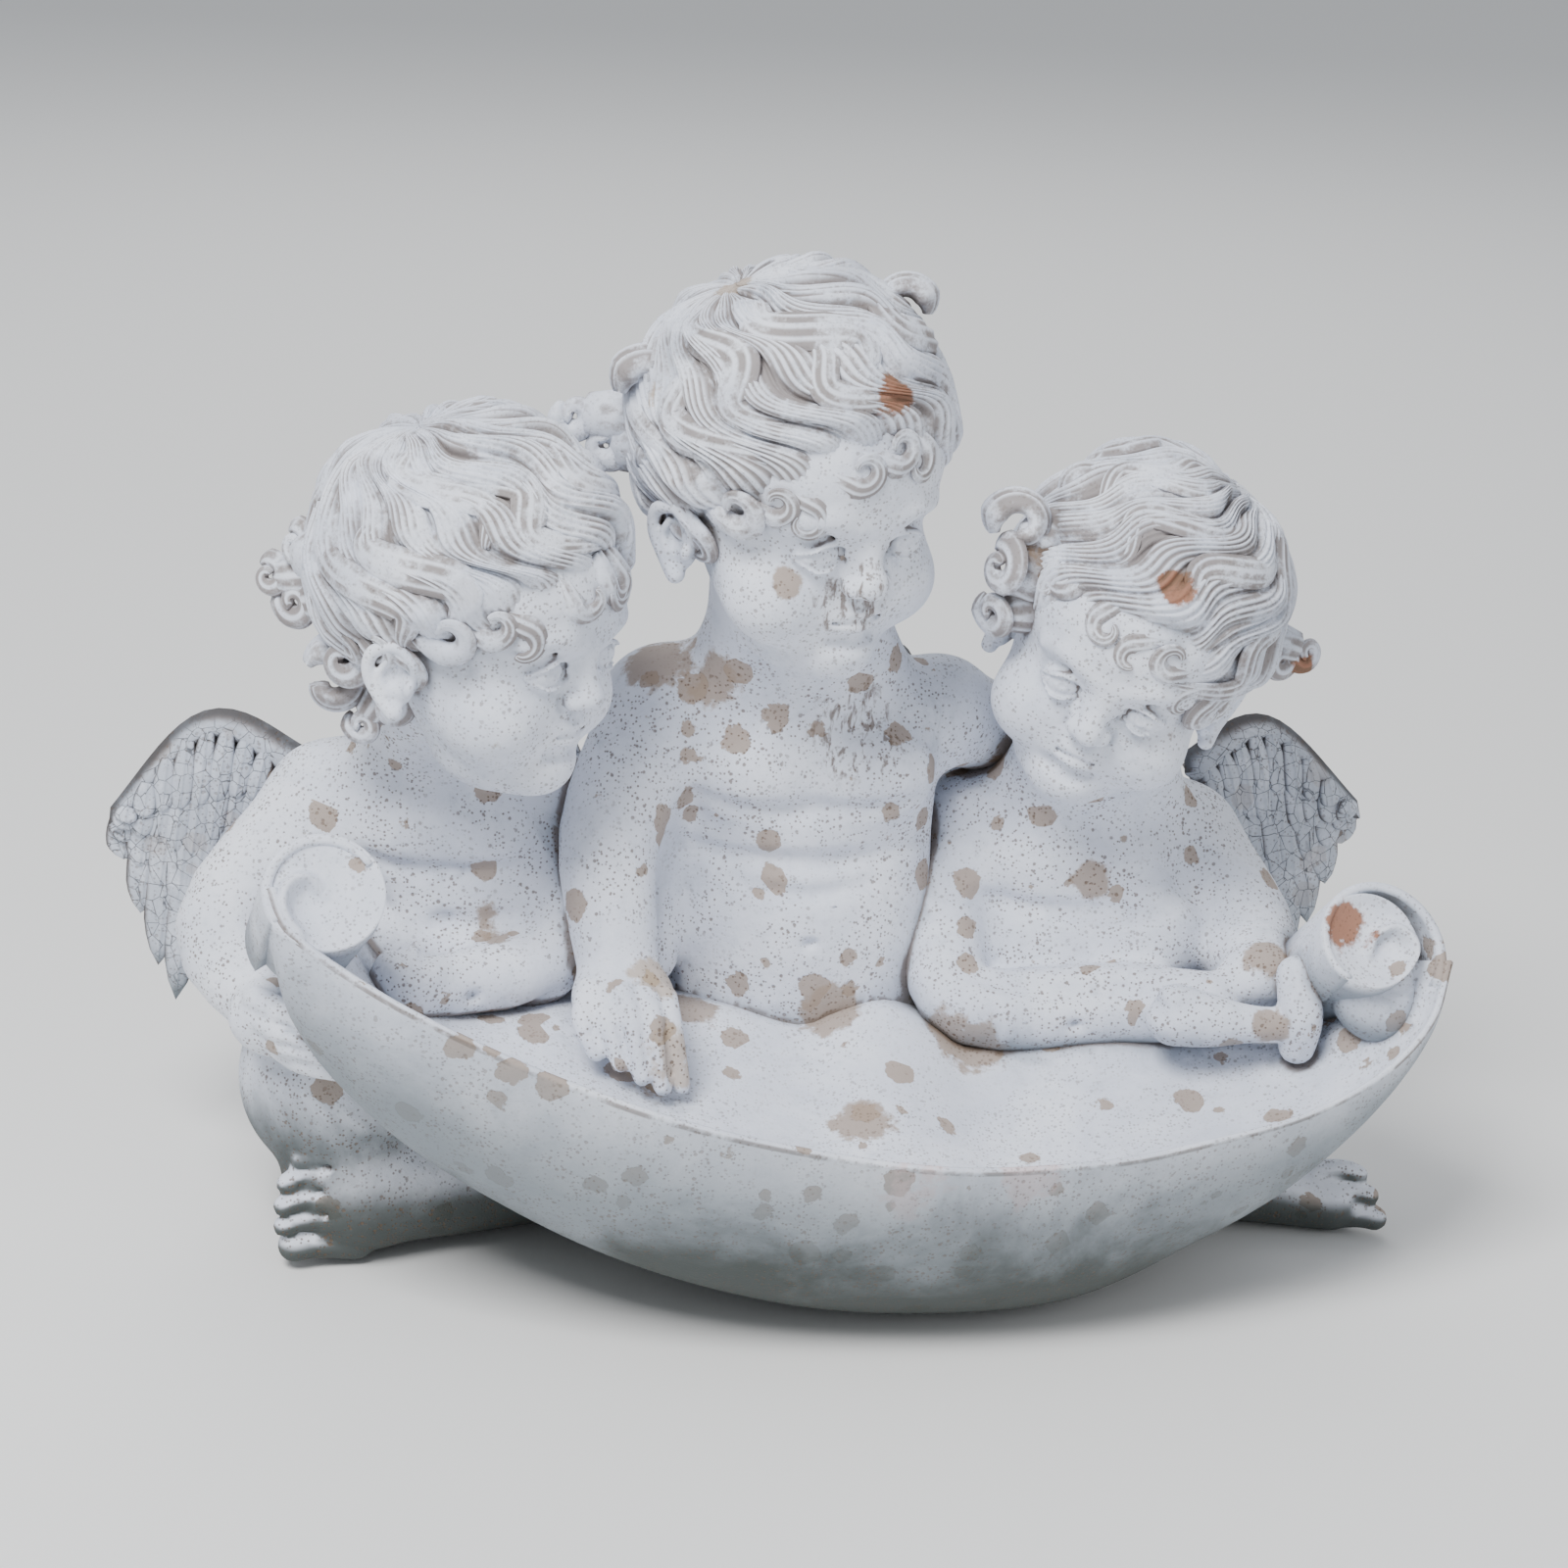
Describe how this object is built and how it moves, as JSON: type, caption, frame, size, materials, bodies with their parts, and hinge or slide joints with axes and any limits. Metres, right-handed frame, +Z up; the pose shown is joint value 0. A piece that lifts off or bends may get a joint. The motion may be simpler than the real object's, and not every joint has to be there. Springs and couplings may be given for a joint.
{
  "type": "garden statue",
  "caption": "Garden statue of seated winged children leaning over an open half bowl with scroll ends, flat underside, weathered whitewash.",
  "frame": {"origin": "middle of the flat underside, on the ground plane", "axes": "+X along the group's width towards the child at the bowl's right end, -Y out of the bowl's open front, +Z up"},
  "size_m": [0.3598, 0.1603, 0.269],
  "materials": {
    "stone": "matte whitewash over cast resin stone, chipped to taupe in spots, grime in the creases"
  },
  "bodies": {
    "root": {"cherub_group": "stone"}
  },
  "joints": []
}
